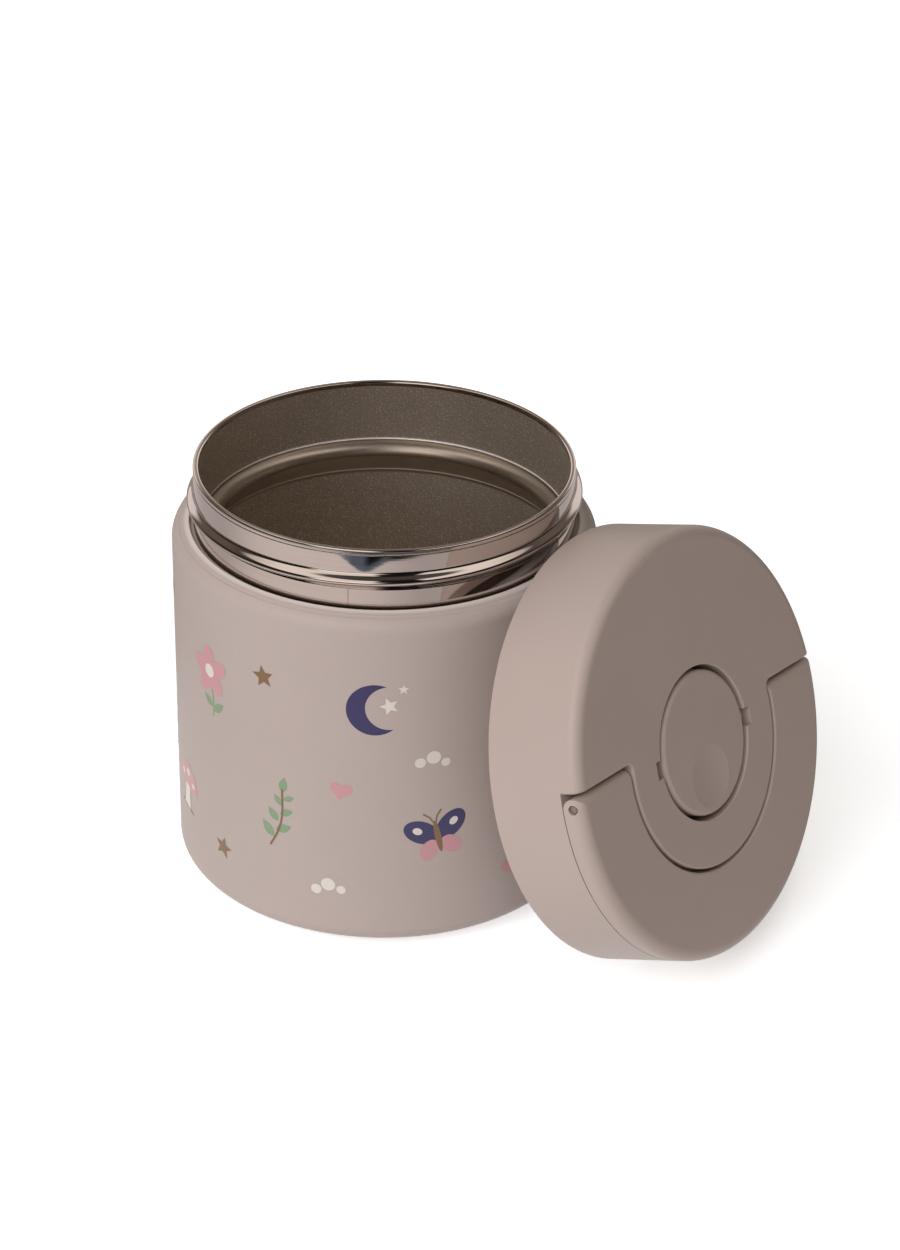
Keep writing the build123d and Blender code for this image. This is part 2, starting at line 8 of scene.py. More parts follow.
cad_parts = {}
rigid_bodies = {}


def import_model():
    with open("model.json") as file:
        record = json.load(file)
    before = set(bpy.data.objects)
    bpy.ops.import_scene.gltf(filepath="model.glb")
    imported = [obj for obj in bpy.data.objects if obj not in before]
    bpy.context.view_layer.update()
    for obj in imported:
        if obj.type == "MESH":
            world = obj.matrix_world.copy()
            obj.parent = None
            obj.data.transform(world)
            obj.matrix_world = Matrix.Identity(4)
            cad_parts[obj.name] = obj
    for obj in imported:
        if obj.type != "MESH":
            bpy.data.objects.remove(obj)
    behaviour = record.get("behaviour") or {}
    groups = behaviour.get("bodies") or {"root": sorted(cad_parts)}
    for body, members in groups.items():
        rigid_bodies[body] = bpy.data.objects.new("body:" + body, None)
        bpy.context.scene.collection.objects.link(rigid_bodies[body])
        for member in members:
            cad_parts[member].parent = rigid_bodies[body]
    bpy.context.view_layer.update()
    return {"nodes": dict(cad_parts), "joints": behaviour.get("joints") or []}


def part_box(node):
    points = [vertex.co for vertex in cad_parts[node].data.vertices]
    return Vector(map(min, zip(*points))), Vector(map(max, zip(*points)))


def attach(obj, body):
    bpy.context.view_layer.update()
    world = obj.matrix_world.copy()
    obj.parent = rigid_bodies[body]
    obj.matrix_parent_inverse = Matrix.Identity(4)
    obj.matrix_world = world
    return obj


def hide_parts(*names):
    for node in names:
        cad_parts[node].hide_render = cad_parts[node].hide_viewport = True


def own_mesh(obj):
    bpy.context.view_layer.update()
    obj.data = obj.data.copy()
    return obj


# Insulated food jar with its lid off, dressed on the CAD frame.
# Metres, +Z up. The outlines that are turned or printed are in millimetres.

for leftover in list(bpy.data.objects):
    bpy.data.objects.remove(leftover, do_unlink=True)

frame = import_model()
nodes = frame["nodes"]
joints = {joint["name"]: joint for joint in frame["joints"]}
mm = 0.001

# ---------------------------------------------------------------- sizes taken from the frame
body_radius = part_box("outer_shell")[1].x
rim_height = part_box("inner_vessel")[1].z
shell_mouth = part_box("outer_shell")[1].z
collar_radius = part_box("neck_collar")[1].x - 0.3 * mm  # above its lower band
band_low = shell_mouth - 0.07 * mm  # of the collar's lower band, which ends in the shell's groove
band_high = band_low + 4.9 * mm
skirt_bore = 47.6 * mm
axle_height = 19.5 * mm  # of the button, above the rim of the lid's skirt
bead_low = 79.2 * mm  # where the burnished bead inside the vessel starts
bead_ledge = 88.6 * mm  # where it ends, on its ledge
lip_low = rim_height - 1.3 * mm  # of the vessel's buffed lip
coat_grain = 0.42 * mm  # of the powder coat, which comes through the ink as well

lid_up = Vector(joints["lid_lift"]["axis"])
lid_across = -Vector(joints["handle_turn"]["axis"])
lid_frame = Matrix((lid_across, lid_up.cross(lid_across), lid_up)).transposed().to_4x4()
lid_frame.translation = Vector(joints["button_press"]["pos_m"]) - axle_height * lid_up


# ================================================================ finishes
def tone(red, green, blue):
    """A colour of a paint chart, turned into light."""
    chart = [value / 255 for value in (red, green, blue)]
    light = [v / 12.92 if v <= 0.04045 else ((v + 0.055) / 1.055) ** 2.4 for v in chart]
    return (*light, 1)


class Level:
    """A number that varies over a surface. Arithmetic on it adds Math nodes."""

    def __init__(self, finish, socket):
        self.finish = finish
        self.socket = socket

    def math(self, operation, first, second=0.0):
        return self.finish.node("ShaderNodeMath", {"operation": operation}, {0: first, 1: second})

    def __add__(self, other):
        return self.math("ADD", self, other)

    def __sub__(self, other):
        return self.math("SUBTRACT", self, other)

    def __rsub__(self, other):
        return self.math("SUBTRACT", other, self)

    def __mul__(self, other):
        return self.math("MULTIPLY", self, other)

    def __abs__(self):
        return self.math("ABSOLUTE", self)

    __radd__ = __add__
    __rmul__ = __mul__


class Finish:
    """One material: a node tree that ends in one shader, whose fixed values are given first."""

    def __init__(self, name, fixed):
        self.material = bpy.data.materials.new(name)
        self.material.use_nodes = True
        self.tree = self.material.node_tree
        self.tree.nodes.clear()
        self.shader = self.node("ShaderNodeBsdfPrincipled", {}, fixed)
        self.node("ShaderNodeOutputMaterial", {}, {"Surface": self.shader}, None)

    def node(self, kind, settings, sockets, output=0):
        """Adds a node: its settings first, then the values or links of its sockets."""
        made = self.tree.nodes.new(kind)
        for name, value in settings.items():
            setattr(made, name, value)
        for name, value in sockets.items():
            self.feed(made.inputs[name], value)
        return None if output is None else Level(self, made.outputs[output])

    def feed(self, socket, value):
        if isinstance(value, Level):
            self.tree.links.new(value.socket, socket)
        else:
            socket.default_value = value

    def varied(self, colour, roughness, normal):
        """Feeds what varies over the surface to the shader, and gives the material."""
        inputs = self.shader.socket.node.inputs
        self.feed(inputs["Base Color"], colour)
        self.feed(inputs["Roughness"], roughness)
        self.feed(inputs["Normal"], normal)
        return self.material

    def place(self):
        return self.node("ShaderNodeTexCoord", {}, {}, "Object")

    def stretched(self, place, scale):
        return self.node("ShaderNodeVectorMath", {"operation": "MULTIPLY"}, {0: place, 1: scale})

    def along(self, place, direction):
        """How far a place lies along a direction."""
        sockets = {0: place, 1: direction}
        return self.node("ShaderNodeVectorMath", {"operation": "DOT_PRODUCT"}, sockets, "Value")

    def noise(self, place, cell, detail=2.0, roughness=0.5):
        sockets = {"Vector": place, "Scale": 1 / cell, "Detail": detail, "Roughness": roughness}
        return self.node("ShaderNodeTexNoise", {}, sockets)

    def turning(self, place, fineness, detail, roughness=0.5):
        """Fine lines round the upright axis, as a lathe or a drawing die leaves them."""
        drawn_out = self.stretched(place, (30, 30, fineness))
        return self.noise(drawn_out, 1.0, detail, roughness)

    def cells(self, place, cell, feature="F1"):
        sockets = {"Vector": place, "Scale": 1 / cell}
        return self.node("ShaderNodeTexVoronoi", {"feature": feature}, sockets)

    def step(self, level, low, high):
        """0 below low, 1 above high, and smooth between them."""
        sockets = {"Value": level, "From Min": low, "From Max": high}
        return self.node("ShaderNodeMapRange", {"interpolation_type": "SMOOTHSTEP"}, sockets)

    def band(self, level, start, full, fading, end):
        """1 from full to fading, 0 outside start and end, and smooth between them."""
        return self.step(level, start, full) * (1 - self.step(level, fading, end))

    def blend(self, first, second, share):
        sockets = {0: share, 6: first, 7: second}
        return self.node("ShaderNodeMix", {"data_type": "RGBA"}, sockets, 2)

    def bump(self, height, depth, strength):
        sockets = {"Height": height, "Distance": depth, "Strength": strength}
        return self.node("ShaderNodeBump", {}, sockets)


def powder_coat(name, light, dark, rough, edge):
    """Baked powder coat: a fine pebbled grain with a soft, slightly uneven tone.

    Just below the height edge the coat is painted paler: painted light standing in for the
    light that the neck's steel throws back on it.
    """
    coat = Finish(name, {"IOR": 1.5})
    place = coat.place()
    grain = coat.noise(place, coat_grain, detail=2.0, roughness=0.6)
    pebble = coat.noise(place, 1.3 * mm, detail=1.0)
    cloud = coat.noise(place, 22 * mm, detail=3.0)
    # painted light: a paler band just below the edge, standing in for light thrown back from the steel
    thinning_and_painted_light = coat.step(coat.along(place, (0, 0, 1)), edge - 0.6 * mm, edge)
    baked = coat.blend(dark, light, grain * 0.55 + pebble * 0.2 + cloud * 0.5 - 0.12)
    return coat.varied(
        # the pale tone near the mouth is painted light
        coat.blend(baked, tone(232, 219, 211), thinning_and_painted_light),
        rough + (grain - 0.5) * 0.16,
        coat.bump(grain * 0.7 + pebble * 0.6, depth=0.035 * mm, strength=0.35),
    )


def moulded_plastic(name, light, dark, rough):
    """Moulded polypropylene: an even spark-eroded grain and faint flow clouds."""
    moulded = Finish(name, {"IOR": 1.49})
    place = moulded.place()
    grain = moulded.noise(place, 0.3 * mm, detail=2.0, roughness=0.6)
    flow = moulded.noise(place, 30 * mm, detail=2.0)
    return moulded.varied(
        moulded.blend(dark, light, grain * 0.35 + flow * 0.8 - 0.08),
        rough + (grain - 0.5) * 0.12 + (flow - 0.5) * 0.06,
        moulded.bump(grain, depth=0.012 * mm, strength=0.6),
    )


def polished_steel(seam_angle, band_low, band_high):
    """Buffed stainless steel: faint turning lines, haze and a few pits.

    The lower band keeps the tube's weld seam. Below the band, in the groove, the steel is
    painted dark and dull: painted shade.
    """
    steel = Finish("neck_polished_steel", {"Metallic": 1.0})
    place = steel.place()
    height = steel.along(place, (0, 0, 1))
    lines = steel.turning(place, fineness=2600, detail=3.0, roughness=0.6)
    haze = steel.noise(place, 9 * mm, detail=3.0)
    pits = 1 - steel.step(steel.cells(place, 0.9 * mm), 0.05, 0.09)
    beside = abs(steel.along(place, (-sin(seam_angle), cos(seam_angle), 0)))
    facing = steel.step(steel.along(place, (cos(seam_angle), sin(seam_angle), 0)), 0, 1 * mm)
    on_band = 1 - steel.step(height, band_high - 0.5 * mm, band_high - 0.3 * mm)
    weld = (1 - steel.step(beside, 0.05 * mm, 0.3 * mm)) * facing * on_band
    # painted shade: the steel in the groove below the band is painted dark
    sunk = 1 - steel.step(height, band_low, band_low + 0.15 * mm)
    buffed = steel.blend(tone(190, 179, 173), tone(212, 202, 197), haze * 0.4 + lines * 0.6)
    marked = steel.blend(buffed, tone(150, 138, 130), pits * 0.4 + weld * 0.35)
    return steel.varied(
        # the groove's dark tone is painted shade
        steel.blend(marked, tone(84, 74, 66), sunk),
        0.005 + lines * 0.02 + haze * 0.02 + weld * 0.15 + sunk * 0.5,
        steel.bump(lines * 0.5 + weld * 0.6 - pits * 0.4, depth=0.0015 * mm, strength=0.5),
    )


def blasted_steel(bead_low, ledge, lip_low):
    """Inside of the vessel: lightly blasted, with a burnished rolled bead and a buffed lip.

    The ledge on the bead is painted darker as a painted dark reflection, and pale lines at
    both ends of the bead are painted highlights.
    """
    steel = Finish("vessel_blasted_steel", {})
    place = steel.place()
    height = steel.along(place, (0, 0, 1))
    lip = steel.step(height, lip_low, lip_low + 0.15 * mm)
    rolled = steel.band(height, bead_low, bead_low + 0.4 * mm, ledge, ledge + 0.3 * mm)
    matt = 1 - lip - rolled * 0.85
    # painted reflection: the flat of the ledge is painted darker than the steel round it
    painted_dark_ledge = steel.step(height, ledge - 0.35 * mm, ledge - 0.25 * mm) * rolled
    # painted highlight: a pale line at the ledge's crease
    ledge_highlight = steel.band(
        height, ledge - 0.2 * mm, ledge - 0.1 * mm, ledge + 0.2 * mm, ledge + 0.3 * mm
    )
    # painted highlight: a pale line at the bead's foot
    lower = steel.band(
        height, bead_low + 0.8 * mm, bead_low + 0.95 * mm, bead_low + 1.25 * mm, bead_low + 1.4 * mm
    )
    painted_highlight_lines = ledge_highlight + lower * 0.6
    grit = steel.noise(place, 0.55 * mm, detail=2.0, roughness=0.65)
    spark = steel.step(steel.noise(place, 0.34 * mm, detail=1.0), 0.54, 0.7)
    drawn = steel.turning(place, fineness=900, detail=2.0)
    tint = steel.noise(place, 14 * mm, detail=2.0)
    blasted = steel.blend(tone(200, 186, 169), tone(216, 204, 190), tint)
    speckled = steel.blend(blasted, tone(255, 247, 235), spark * matt)
    shaded = steel.blend(speckled, tone(196, 184, 172), rolled)
    # the ledge's painted dark reflection, then the painted highlight lines
    shaded = steel.blend(shaded, tone(140, 128, 118), painted_dark_ledge)
    shaded = steel.blend(shaded, tone(252, 246, 240), painted_highlight_lines)
    rough = 0.34 + grit * 0.12 + drawn * 0.06 - spark * 0.1
    # the painted highlight lines are made less metallic as well, so that they stay pale
    steel.feed(steel.shader.socket.node.inputs["Metallic"], 1 - matt * 0.14 - painted_highlight_lines * 0.5)
    return steel.varied(
        steel.blend(shaded, tone(204, 194, 186), lip),
        rough * matt + 0.3 * rolled + 0.1 * lip,
        steel.bump(grit * matt + drawn * 0.1, depth=0.06 * mm, strength=0.5),
    )


def plain_metal(name, light, dark, rough, cell, depth):
    """Small or hidden metal parts: two tones and a grain of their own size."""
    metal = Finish(name, {"Metallic": 1.0})
    grain = metal.noise(metal.place(), cell, detail=3.0, roughness=0.6)
    return metal.varied(
        metal.blend(dark, light, grain),
        rough + (grain - 0.5) * 0.15,
        metal.bump(grain, depth, strength=0.5),
    )


def crinkled_foil():
    """Thin coppery foil with sharp creases."""
    foil = Finish("shield_foil", {"Metallic": 1.0})
    place = foil.place()
    creases = foil.step(foil.cells(place, 5 * mm, "DISTANCE_TO_EDGE"), 0, 0.12)
    ripple = foil.noise(place, 2.5 * mm, detail=3.0)
    return foil.varied(
        foil.blend(tone(196, 120, 84), tone(226, 160, 122), ripple),
        0.18 + ripple * 0.15,
        foil.bump(creases + ripple * 0.6, depth=0.15 * mm, strength=0.6),
    )


def closed_foam():
    """Insulating foam: pale closed cells."""
    foam = Finish("lid_foam", {"IOR": 1.3})
    place = foam.place()
    cell = foam.cells(place, 0.9 * mm)
    cloud = foam.noise(place, 8 * mm, detail=2.0)
    return foam.varied(
        foam.blend(tone(224, 208, 160), tone(240, 230, 196), cell * 0.7 + cloud * 0.3),
        0.85 + cloud * 0.1,
        foam.bump(cell, depth=0.3 * mm, strength=0.6),
    )


def silicone_rubber():
    """Seal rubber: milky, with a little dust on it."""
    milky = {"IOR": 1.41, "Subsurface Weight": 0.15, "Subsurface Scale": 1 * mm}
    rubber = Finish("seal_silicone", milky)
    place = rubber.place()
    dust = rubber.noise(place, 0.6 * mm, detail=3.0, roughness=0.7)
    cloud = rubber.noise(place, 7 * mm, detail=2.0)
    return rubber.varied(
        rubber.blend(tone(204, 200, 194), tone(226, 223, 217), cloud * 0.8 + dust * 0.2),
        0.42 + dust * 0.16,
        rubber.bump(dust, depth=0.01 * mm, strength=0.4),
    )


def printed_ink(name, colour, thinned):
    """Printed ink: the coat's grain comes through it, and it thins a little in places."""
    ink = Finish(name, {"IOR": 1.5})
    place = ink.place()
    grain = ink.noise(place, coat_grain, detail=2.0, roughness=0.6)
    thinning_and_painted_light = ink.noise(place, 2.2 * mm, detail=3.0)
    return ink.varied(
        ink.blend(colour, thinned, thinning_and_painted_light * 0.5 + grain * 0.25 - 0.1),
        0.4 + (grain - 0.5) * 0.14,
        ink.bump(grain, depth=0.03 * mm, strength=0.3),
    )


coat_light, coat_dark = tone(194, 179, 172), tone(184, 168, 161)
shell_coat = powder_coat("shell_powder_coat", coat_light, coat_dark, rough=0.5, edge=shell_mouth)
base_coat = powder_coat("base_powder_coat", coat_light, coat_dark, rough=0.55, edge=shell_mouth)
lid_plastic = moulded_plastic(
    "lid_satin_plastic", tone(195, 178, 169), tone(186, 169, 160), rough=0.44
)
liner_plastic = moulded_plastic(
    "liner_plastic_grained", tone(190, 176, 168), tone(178, 164, 156), rough=0.36
)
weld_seam = radians(-65)  # where the collar's seam runs up its band
neck_steel = polished_steel(weld_seam, band_low, band_high)
vessel_steel = blasted_steel(bead_low, bead_ledge, lip_low)
silicone = silicone_rubber()
pin_steel = plain_metal(
    "pin_turned_steel", tone(176, 162, 154), tone(150, 138, 132),
    rough=0.36, cell=0.35 * mm, depth=0.01 * mm,
)
finish_of = {
    "outer_shell": shell_coat,
    "base_cover": base_coat,
    "inner_vessel": vessel_steel,
    "neck_collar": neck_steel,
    "shell_bottom": plain_metal(
        "bottom_drawn_steel", tone(206, 200, 194), tone(170, 164, 158),
        rough=0.35, cell=2 * mm, depth=0.02 * mm,
    ),
    "vacuum_seal": plain_metal(
        "seal_solder", tone(190, 188, 184), tone(140, 138, 136),
        rough=0.42, cell=1.2 * mm, depth=0.1 * mm,
    ),
    "heat_shield": crinkled_foil(),
    "getter": plain_metal(
        "getter_sheet", tone(176, 174, 172), tone(120, 116, 112),
        rough=0.38, cell=0.8 * mm, depth=0.03 * mm,
    ),
    "lid_cover": lid_plastic,
    "handle": lid_plastic,
    "vent_button": lid_plastic,
    "handle_pin_left": pin_steel,
    "handle_pin_right": pin_steel,
    "lid_liner": liner_plastic,
    "vent_stem": liner_plastic,
    "lid_insulation": closed_foam(),
    "lid_gasket": silicone,
    "valve_disc": silicone,
    "vent_spring": plain_metal(
        "spring_drawn_wire", tone(214, 210, 206), tone(150, 146, 142),
        rough=0.22, cell=0.2 * mm, depth=0.005 * mm,
    ),
}
for name, material in finish_of.items():
    nodes[name].material_slots[0].material = material


# ================================================================ added pieces
def piece(name, mesh, material, body):
    """A new piece, in place, that rides on a body."""
    made = bpy.data.objects.new(name, mesh)
    bpy.context.collection.objects.link(made)
    made.data.materials.append(material)
    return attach(made, body)


# ================================================================ vessel and collar, turned finer
def rounded_outline(corners, per_turn=60, guard_width=0.12):
    """The points of a closed outline whose corners are (radius, height, rounding), in millimetres.

    A point close to each end of a rounding guards the flat beside it from its smooth shading.
    """
    outline = []
    for index, (r, z, rounding) in enumerate(corners):
        corner = Vector((r, z))
        to_last = (Vector(corners[index - 1][:2]) - corner).normalized()
        to_next = (Vector(corners[(index + 1) % len(corners)][:2]) - corner).normalized()
        if not rounding:
            outline.append(corner)
            continue
        half = to_last.angle(to_next) / 2
        reach = rounding / tan(half)
        middle = corner + (to_last + to_next).normalized() * rounding / sin(half)
        first, last = corner + to_last * reach - middle, corner + to_next * reach - middle
        sweep = pi - 2 * half
        steps = max(3, ceil(sweep / (2 * pi) * per_turn))
        guard = min(guard_width, reach / 4)
        outline.append(middle + first + to_last * guard)
        for k in range(steps + 1):
            share = sweep * k / steps
            outline.append(middle + (first * sin(sweep - share) + last * sin(share)) / sin(sweep))
        outline.append(middle + last + to_next * guard)
    return outline


def turned_solid(name, corners, spokes=384):
    """A closed outline turned about the jar's axis. Points on the axis close in one vertex."""
    solid = bmesh.new()
    rings = []
    for point in rounded_outline(corners):
        r, z = point * mm
        angles = [2 * pi * spoke / spokes for spoke in range(spokes if r > 0 else 1)]
        rings.append([solid.verts.new((r * cos(a), r * sin(a), z)) for a in angles])
    for ring, beyond in zip(rings, rings[1:] + rings[:1]):
        for k in range(spokes if len(ring) + len(beyond) > 2 else 0):
            around = [ring[k % len(ring)], ring[(k + 1) % len(ring)],
                      beyond[(k + 1) % len(beyond)], beyond[k % len(beyond)]]
            solid.faces.new(dict.fromkeys(around)).smooth = True
    bmesh.ops.recalc_face_normals(solid, faces=solid.faces[:])
    mesh = bpy.data.meshes.new(name)
    solid.to_mesh(mesh)
    solid.free()
    return mesh


# The vessel's bore, the crest of its rolled bead, its sheet and its levels, in millimetres
bore, crest, sheet = 43.3, 40.25, 0.6
floor_top, bead_foot, bead_top, ledge_top, rim_top = 11, 80.27, 85.17, 88.37, 103.97
cone_shift = 0.17  # of the cone under the bead, on the wall's far side
lip_radius, lip_foot = 44.7, 102.72

# Floor, cone, rolled bead with its ledge, mouth and lip, then back down the wall's far side
vessel_corners = [
    (0, floor_top, 0), (bore, floor_top, 8),
    (bore, bead_foot, 0.6), (crest, bead_top, 0.9), (crest, ledge_top, 2.9), (bore, ledge_top, 0.3),
    (bore, rim_top, 0.55), (lip_radius, rim_top, 0.55),
    (lip_radius, lip_foot, 0.15), (bore + sheet, lip_foot, 0.1),
    (bore + sheet, ledge_top - sheet, 0.9), (crest + sheet, ledge_top - sheet, 1.6),
    (crest + sheet, bead_top + cone_shift, 0.9), (bore + sheet, bead_foot + cone_shift, 1.2),
    (bore + sheet, floor_top - sheet, 8.6), (0, floor_top - sheet, 0),
]
vessel_mesh = turned_solid("vessel_turned", vessel_corners)
vessel = piece("vessel_turned", vessel_mesh, vessel_steel, "jar")
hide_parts("inner_vessel")

# The collar's bore, neck and band as radii, and its levels, in millimetres
collar_bore, neck_side, band_side = 44.0, 44.7, 45.0
tail_foot, band_foot, band_edge, neck_foot, neck_top = 86.4, 89.6, 94.2, 94.32, 102.62

# Tail, lower band with the fine ledge on it, and the upright neck
collar_corners = [
    (collar_bore, tail_foot, 0.1), (neck_side, tail_foot, 0.1),
    (neck_side, band_foot, 0.04), (band_side, band_foot, 0.12),
    (band_side, band_edge, 0.08), (neck_side, neck_foot, 0.04),
    (neck_side, neck_top, 0.1), (collar_bore, neck_top, 0.1),
]
collar_mesh = turned_solid("collar_turned", collar_corners)
collar = piece("collar_turned", collar_mesh, neck_steel, "jar")
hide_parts("neck_collar")


# ================================================================ threads
def rolled_bead(name, home, root, rise, half_width, start, turns, lead, low, fade, sunk, fullness):
    """A helical ridge on a wall of radius root. A negative rise turns it inwards.

    It starts at the angle start and the height low, climbs by lead each turn, and grows
    out of the wall over the angle fade. Its back lies sunk behind the wall's surface.
    A lower fullness makes its crest broader.
    """
    ribs, points = ceil(turns * 720), 32
    ridge = bmesh.new()
    rows = []
    for rib in range(ribs + 1):
        turned = 2 * pi * turns * rib / ribs
        angle = start + turned
        from_end = min(turned, 2 * pi * turns - turned) / fade
        grown = (1 - cos(pi * min(from_end, 1))) / 2
        middle = low + lead * turned / (2 * pi)
        section = [(root - sunk, middle + half_width), (root - sunk, middle - half_width)]
        for point in range(points + 1):
            across = 2 * point / points - 1
            bulge = (0.5 + 0.5 * cos(pi * across)) ** fullness
            section.append((root + rise * grown * bulge, middle + half_width * across))
        corners = [home @ Vector((r * cos(angle), r * sin(angle), z)) for r, z in section]
        rows.append([ridge.verts.new(corner) for corner in corners])
    for row, beyond in zip(rows, rows[1:]):
        for k in range(len(row)):
            ridge.faces.new((row[k - 1], beyond[k - 1], beyond[k], row[k]))
    ridge.faces.new(rows[0])
    ridge.faces.new(rows[-1])
    bmesh.ops.recalc_face_normals(ridge, faces=ridge.faces[:])
    for face in ridge.faces:
        face.smooth = len(face.verts) == 4
    mesh = bpy.data.meshes.new(name)
    ridge.to_mesh(mesh)
    ridge.free()
    return mesh


neck_bead = rolled_bead(
    "neck_thread", Matrix.Identity(4), collar_radius, rise=1.65 * mm, half_width=2.15 * mm,
    start=radians(148), turns=0.87, lead=4.2 * mm, low=94.5 * mm, fade=radians(28),
    sunk=0.35 * mm, fullness=1.0,
)
piece("neck_thread", neck_bead, neck_steel, "jar")
for side, start in (("left", 15), ("right", 195)):
    rib = rolled_bead(
        f"lid_thread_{side}", lid_frame, skirt_bore, rise=-1.5 * mm, half_width=1.1 * mm,
        start=radians(start), turns=0.42, lead=3.6 * mm, low=4.2 * mm, fade=radians(14),
        sunk=-0.6 * mm, fullness=0.8,
    )
    piece(f"lid_thread_{side}", rib, lid_plastic, "lid")


# ================================================================ vent spring
def coiled_spring(name):
    """The CAD coil again, as a piece of its own that rides on the lid."""
    mesh = nodes["vent_spring"].data.copy()
    mesh.materials.clear()
    coil = piece(name, mesh, finish_of["vent_spring"], "lid")
    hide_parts("vent_spring")
    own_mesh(coil)


coiled_spring("vent_coil")


# ================================================================ prints round the jar
def turned(points, x, y, turn):
    """The points, turned by that many degrees and moved to (x, y)."""
    c, s = cos(radians(turn)), sin(radians(turn))
    return [(x + a * c - b * s, y + a * s + b * c) for a, b in points]


def oval(x, y, half_length, half_width, turn=0.0, points=36):
    ring = [2 * pi * point / points for point in range(points)]
    return turned([(half_length * cos(a), half_width * sin(a)) for a in ring], x, y, turn)


def leaf(x, y, length, width, turn, points=14):
    """A pointed leaf that grows from (x, y)."""
    shares = [k / points for k in range(points + 1)]
    edge = [(length * t, width / 2 * sin(pi * t**0.85)) for t in shares]
    return turned(edge + [(a, -b) for a, b in edge[-2:0:-1]], x, y, turn)


def star(x, y, reach, turn=0.0, arms=5, waist=0.45):
    corners = []
    for corner in range(2 * arms):
        angle = pi / 2 + pi * corner / arms
        span = reach * (waist if corner % 2 else 1)
        corners.append((span * cos(angle), span * sin(angle)))
    return turned(corners, x, y, turn)


def heart(x, y, size, turn=0.0, points=40):
    curve = []
    for point in range(points):
        a = 2 * pi * point / points
        up = 13 * cos(a) - 5 * cos(2 * a) - 2 * cos(3 * a) - cos(4 * a)
        curve.append((16 * sin(a) ** 3 * size / 32, up * size / 32))
    return turned(curve, x, y, turn)


def crescent(radius, bite, shift, points=26):
    """A moon: the far arc of a disc, and the near arc of the smaller disc cut from it."""
    meet_x = (radius**2 - bite**2 + shift**2) / (2 * shift)
    outer_half, inner_half = pi - acos(meet_x / radius), pi - acos((meet_x - shift) / bite)
    shares = [2 * k / points - 1 for k in range(points + 1)]
    outer = [(-radius * cos(outer_half * t), radius * sin(outer_half * t)) for t in shares]
    inner = [(shift - bite * cos(inner_half * t), bite * sin(inner_half * t)) for t in shares]
    return outer + inner[-2:0:-1]


def line(points, width):
    """A line of ink along the given points."""
    left, far = [], []
    for index, (x, y) in enumerate(points):
        (x0, y0), (x1, y1) = points[max(index - 1, 0)], points[min(index + 1, len(points) - 1)]
        run = Vector((x1 - x0, y1 - y0)).normalized() * width / 2
        left.append((x - run.y, y + run.x))
        far.append((x + run.y, y - run.x))
    return left + far[::-1]


def half_disc(x, y, half_length, height, points=24):
    dome = [pi * k / points for k in range(points + 1)]
    return [(x + half_length * cos(a), y + height * sin(a)) for a in dome]


def sprig():
    stem = [(1.2 * sin(k / 3), k * 1.5 - 9) for k in range(12)]
    leaves = [leaf(0.4, level - 9, 5.4 - level / 6, 2.7 - level / 12, 90 + side * 52)
              for level, side in ((2.6, 1), (4.8, -1), (7.4, 1), (9.6, -1), (12.0, 1), (13.8, -1))]
    return {"ochre": [line(stem, 0.55)], "green": leaves + [leaf(-0.4, 6.6, 4.2, 2.3, 96)]}


def flower():
    petals = [oval(3.5 * cos(radians(a)), 2.6 + 3.5 * sin(radians(a)), 3.1, 2.15, a)
              for a in range(18, 378, 72)]
    stem = [(0.25 * k * (1 - k / 9), -9 + k) for k in range(8)]
    return {
        "pink": petals,
        "cream": [oval(0, 2.6, 1.7, 1.7)],
        "green": [line(stem, 0.6), leaf(0.3, -7.6, 4.8, 2.2, 32), leaf(0.2, -6.6, 4.2, 2.0, 140)],
    }


def moon():
    stars = [star(3.4, 0.6, 2.3, 12), star(7.2, 4.4, 1.3, -10)]
    return {"navy": [crescent(6.6, 5.6, 3.4)], "cream": stars}


def butterfly():
    wings = [oval(3.6, 2.6, 4.4, 2.9, 38), oval(-3.6, 2.6, 4.4, 2.9, 142)]
    lower = [oval(2.7, -2.7, 2.9, 2.1, -52), oval(-2.7, -2.7, 2.9, 2.1, 232)]
    feelers = [line([(0.2 * s, 4.2), (0.9 * s, 6.0), (2.2 * s, 7.4)], 0.4) for s in (1, -1)]
    spots = [oval(4.4, 3.2, 1.2, 0.9, 38), oval(-4.4, 3.2, 1.2, 0.9, 142)]
    middle = [oval(0, 0.4, 0.75, 4.4)]
    return {"navy": wings, "pink": lower, "ochre": middle + feelers, "cream": spots}


def toadstool():
    dots = [oval(-3.4, 2.2, 0.9, 0.7), oval(0.2, 3.9, 1.1, 0.9), oval(3.6, 1.8, 0.8, 0.7)]
    foot = [(-1.5, 0.2), (1.5, 0.2), (1.9, -4.8), (2.3, -6.0), (-2.3, -6.0), (-1.9, -4.8)]
    ground = line([(-4, -6.2), (4, -6.2)], 0.5)
    return {"pink": [half_disc(0, 0, 6.0, 6.2)], "cream": dots + [foot], "ochre": [ground]}


def small_star():
    return {"ochre": [star(0, 0, 3.0)]}


def small_heart():
    return {"pink": [heart(0, 0, 5.4)]}


def small_dots():
    return {"cream": [oval(-2.6, -0.6, 1.3, 1.3), oval(0.4, 0.9, 1.7, 1.7), oval(3.4, -0.4, 1.1, 1.1)]}


